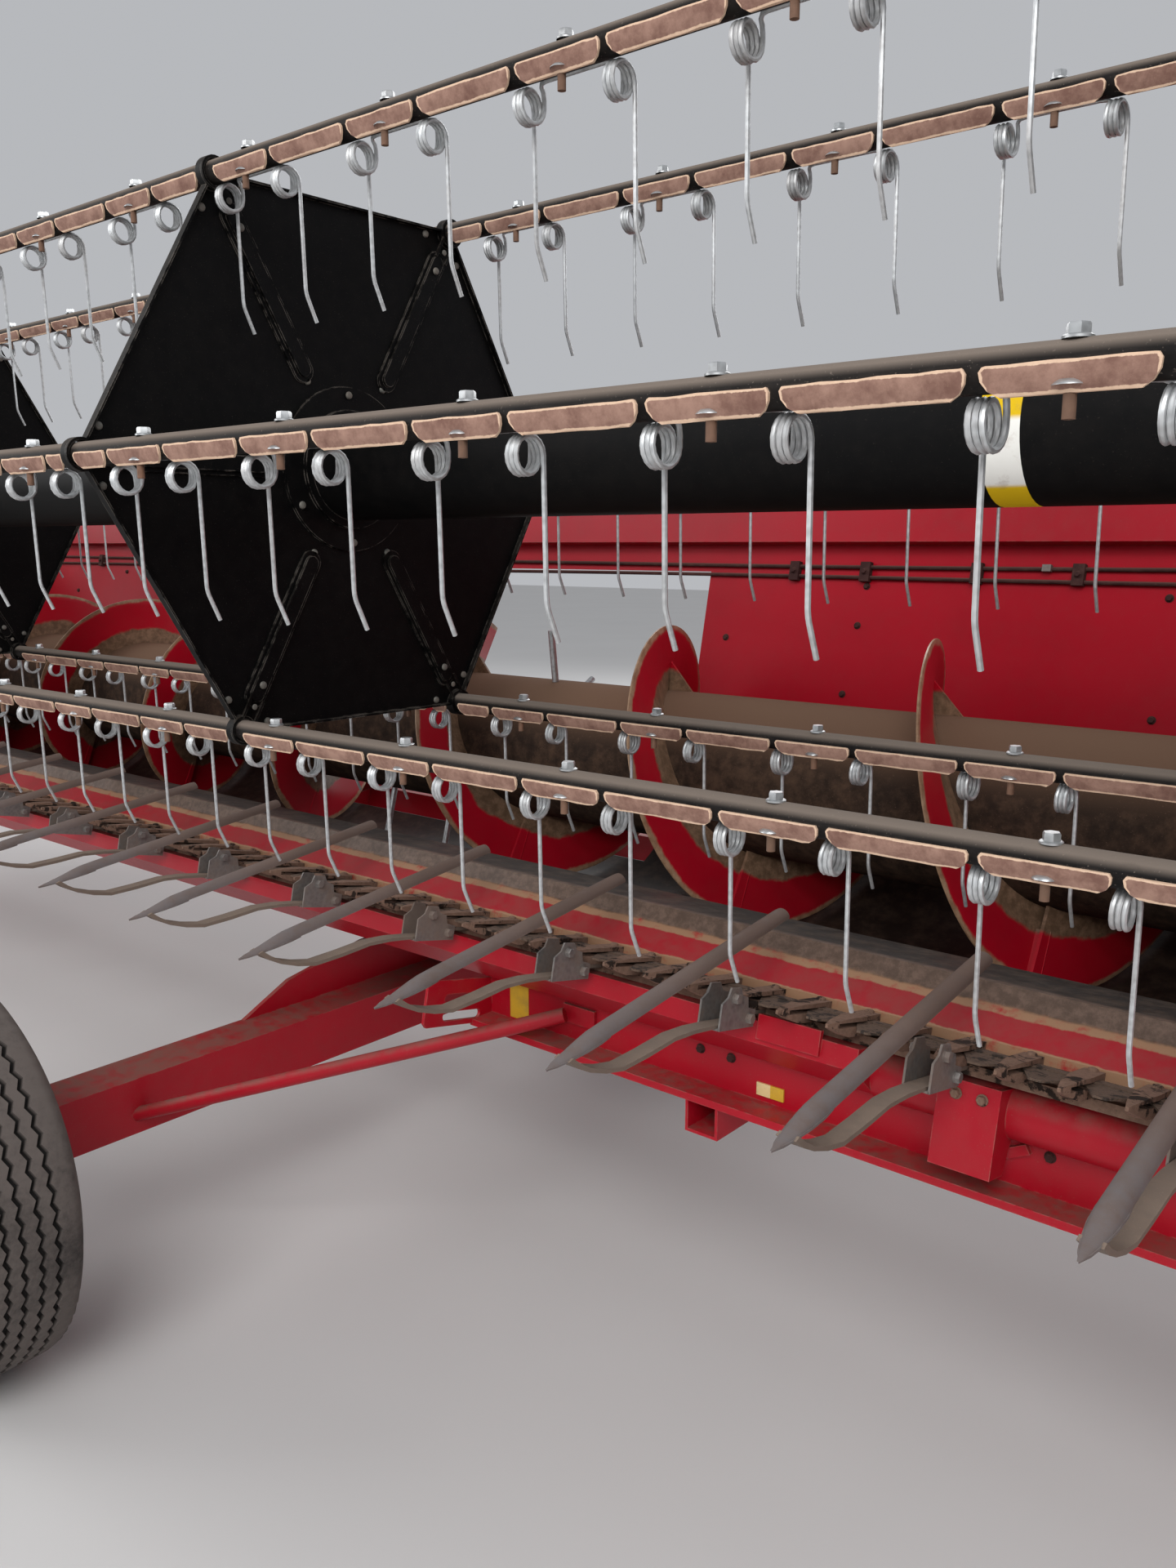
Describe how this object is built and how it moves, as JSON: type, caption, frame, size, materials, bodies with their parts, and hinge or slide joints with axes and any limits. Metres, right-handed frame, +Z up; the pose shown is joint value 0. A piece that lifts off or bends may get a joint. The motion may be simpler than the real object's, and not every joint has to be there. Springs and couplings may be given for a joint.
{
  "type": "combine header on a transport trailer",
  "caption": "Grain header with a tined pickup reel, auger, knife and crop lifters, standing on a two-wheeled transport trailer with drawbar and jack.",
  "frame": {"origin": "centre of the outline, on the floor", "axes": "+X along the cut, away from the drawbar; +Y from the knife to the back; +Z up"},
  "size_m": [7.2898, 2.385, 1.9248],
  "materials": {
    "black_paint": "satin",
    "chrome": "polished",
    "dark_steel": "matte",
    "grey_paint": "satin",
    "red_lens": "gloss",
    "red_paint": "satin",
    "rubber": "matte",
    "worn_steel": "matte",
    "zinc": "satin"
  },
  "bodies": {
    "body": {"back_frame": "red_paint", "back_sheets": "red_paint", "trough": "red_paint", "floor_ribs": "red_paint", "front_beam": "red_paint", "end_walls": "red_paint", "dividers": "red_paint", "cutterbar": "dark_steel", "crop_lifters": "zinc", "pipes": "black_paint", "drive_cover": "red_paint", "drive_shaft": "zinc", "main_beam": "red_paint", "axle_beam": "red_paint", "cradles": "red_paint", "drawbar": "red_paint", "jack_tube": "zinc", "light_board": "red_paint", "tail_lamps": "red_lens"},
    "knife": {"knife": "worn_steel"},
    "auger": {"auger_tube": "worn_steel", "auger_flights": "red_paint", "auger_fingers": "worn_steel"},
    "reel_arms": {"reel_arms": "red_paint"},
    "reel_slides": {"reel_slides": "red_paint", "reel_drive": "black_paint"},
    "reel": {"reel_tube": "black_paint", "reel_spiders": "black_paint"},
    "bat_1": {"bat_1": "black_paint"},
    "bat_2": {"bat_2": "black_paint"},
    "bat_3": {"bat_3": "black_paint"},
    "bat_4": {"bat_4": "black_paint"},
    "bat_5": {"bat_5": "black_paint"},
    "bat_6": {"bat_6": "black_paint"},
    "control_ring": {"control_ring": "black_paint"},
    "lift_barrel_left": {"lift_barrel_left": "black_paint"},
    "lift_barrel_right": {"lift_barrel_right": "black_paint"},
    "lift_rod_left": {"lift_rod_left": "chrome"},
    "lift_rod_right": {"lift_rod_right": "chrome"},
    "jack_leg": {"jack_leg": "zinc"},
    "wheel_front": {"tyre_front": "rubber", "rim_front": "grey_paint"},
    "wheel_rear": {"tyre_rear": "rubber", "rim_rear": "grey_paint"}
  },
  "joints": [
    {"name": "wheel_front_roll", "type": "hinge", "parent": "body", "child": "wheel_front", "pos_m": [1.287, -1.095, 0.335], "axis": [0, 1, 0], "continuous": true},
    {"name": "wheel_rear_roll", "type": "hinge", "parent": "body", "child": "wheel_rear", "pos_m": [1.287, 1.095, 0.335], "axis": [0, 1, 0], "continuous": true},
    {"name": "jack_slide", "type": "slide", "parent": "body", "child": "jack_leg", "axis": [0, 0, 1], "range_m": [0, 0.12]},
    {"name": "knife_stroke", "type": "slide", "parent": "body", "child": "knife", "axis": [1, 0, 0], "range_m": [-0.038, 0.038]},
    {"name": "auger_spin", "type": "hinge", "parent": "body", "child": "auger", "pos_m": [0.715, 0.33187, 0.881], "axis": [1, 0, 0], "continuous": true},
    {"name": "reel_lift", "type": "hinge", "parent": "body", "child": "reel_arms", "pos_m": [0.715, 0.832, 1.47], "axis": [-1, 0, 0], "range_deg": [0, 22]},
    {"name": "reel_reach", "type": "slide", "parent": "reel_arms", "child": "reel_slides", "axis": [0, -1, 0], "range_m": [0, 0.25]},
    {"name": "reel_spin", "type": "hinge", "parent": "reel_slides", "child": "reel", "pos_m": [0.715, -0.438, 1.48], "axis": [1, 0, 0], "continuous": true},
    {"name": "ring_spin", "type": "hinge", "parent": "reel_slides", "child": "control_ring", "pos_m": [0.715, -0.438, 1.41], "axis": [1, 0, 0], "continuous": true},
    {"name": "bat_1_turn", "type": "hinge", "parent": "reel", "child": "bat_1", "pos_m": [0.715, -0.681, 1.90089], "axis": [1, 0, 0], "continuous": true},
    {"name": "bat_2_turn", "type": "hinge", "parent": "reel", "child": "bat_2", "pos_m": [0.715, -0.924, 1.48], "axis": [1, 0, 0], "continuous": true},
    {"name": "bat_3_turn", "type": "hinge", "parent": "reel", "child": "bat_3", "pos_m": [0.715, -0.681, 1.05911], "axis": [1, 0, 0], "continuous": true},
    {"name": "bat_4_turn", "type": "hinge", "parent": "reel", "child": "bat_4", "pos_m": [0.715, -0.195, 1.05911], "axis": [1, 0, 0], "continuous": true},
    {"name": "bat_5_turn", "type": "hinge", "parent": "reel", "child": "bat_5", "pos_m": [0.715, 0.048, 1.48], "axis": [1, 0, 0], "continuous": true},
    {"name": "bat_6_turn", "type": "hinge", "parent": "reel", "child": "bat_6", "pos_m": [0.715, -0.195, 1.90089], "axis": [1, 0, 0], "continuous": true},
    {"name": "lift_barrel_left_swing", "type": "hinge", "parent": "body", "child": "lift_barrel_left", "pos_m": [-2.073, 0.507, 1.03], "axis": [-1, 0, 0], "range_deg": [0, 11.9]},
    {"name": "lift_rod_left_slide", "type": "slide", "parent": "lift_barrel_left", "child": "lift_rod_left", "axis": [0, -0.5196, 0.8544], "range_m": [0, 0.1896]},
    {"name": "lift_barrel_right_swing", "type": "hinge", "parent": "body", "child": "lift_barrel_right", "pos_m": [3.503, 0.507, 1.03], "axis": [-1, 0, 0], "range_deg": [0, 11.9]},
    {"name": "lift_rod_right_slide", "type": "slide", "parent": "lift_barrel_right", "child": "lift_rod_right", "axis": [0, -0.5196, 0.8544], "range_m": [0, 0.1896]}
  ],
  "couplings": [
    {"joint": "ring_spin", "follows": "reel_spin", "ratio": 1},
    {"joint": "bat_1_turn", "follows": "reel_spin", "ratio": -1},
    {"joint": "bat_2_turn", "follows": "reel_spin", "ratio": -1},
    {"joint": "bat_3_turn", "follows": "reel_spin", "ratio": -1},
    {"joint": "bat_4_turn", "follows": "reel_spin", "ratio": -1},
    {"joint": "bat_5_turn", "follows": "reel_spin", "ratio": -1},
    {"joint": "bat_6_turn", "follows": "reel_spin", "ratio": -1},
    {"joint": "lift_barrel_left_swing", "follows": "reel_lift", "ratio": 0.51638},
    {"joint": "lift_rod_left_slide", "follows": "reel_lift", "m_per_rad": 0.48848},
    {"joint": "lift_barrel_right_swing", "follows": "reel_lift", "ratio": 0.51638},
    {"joint": "lift_rod_right_slide", "follows": "reel_lift", "m_per_rad": 0.48848}
  ]
}
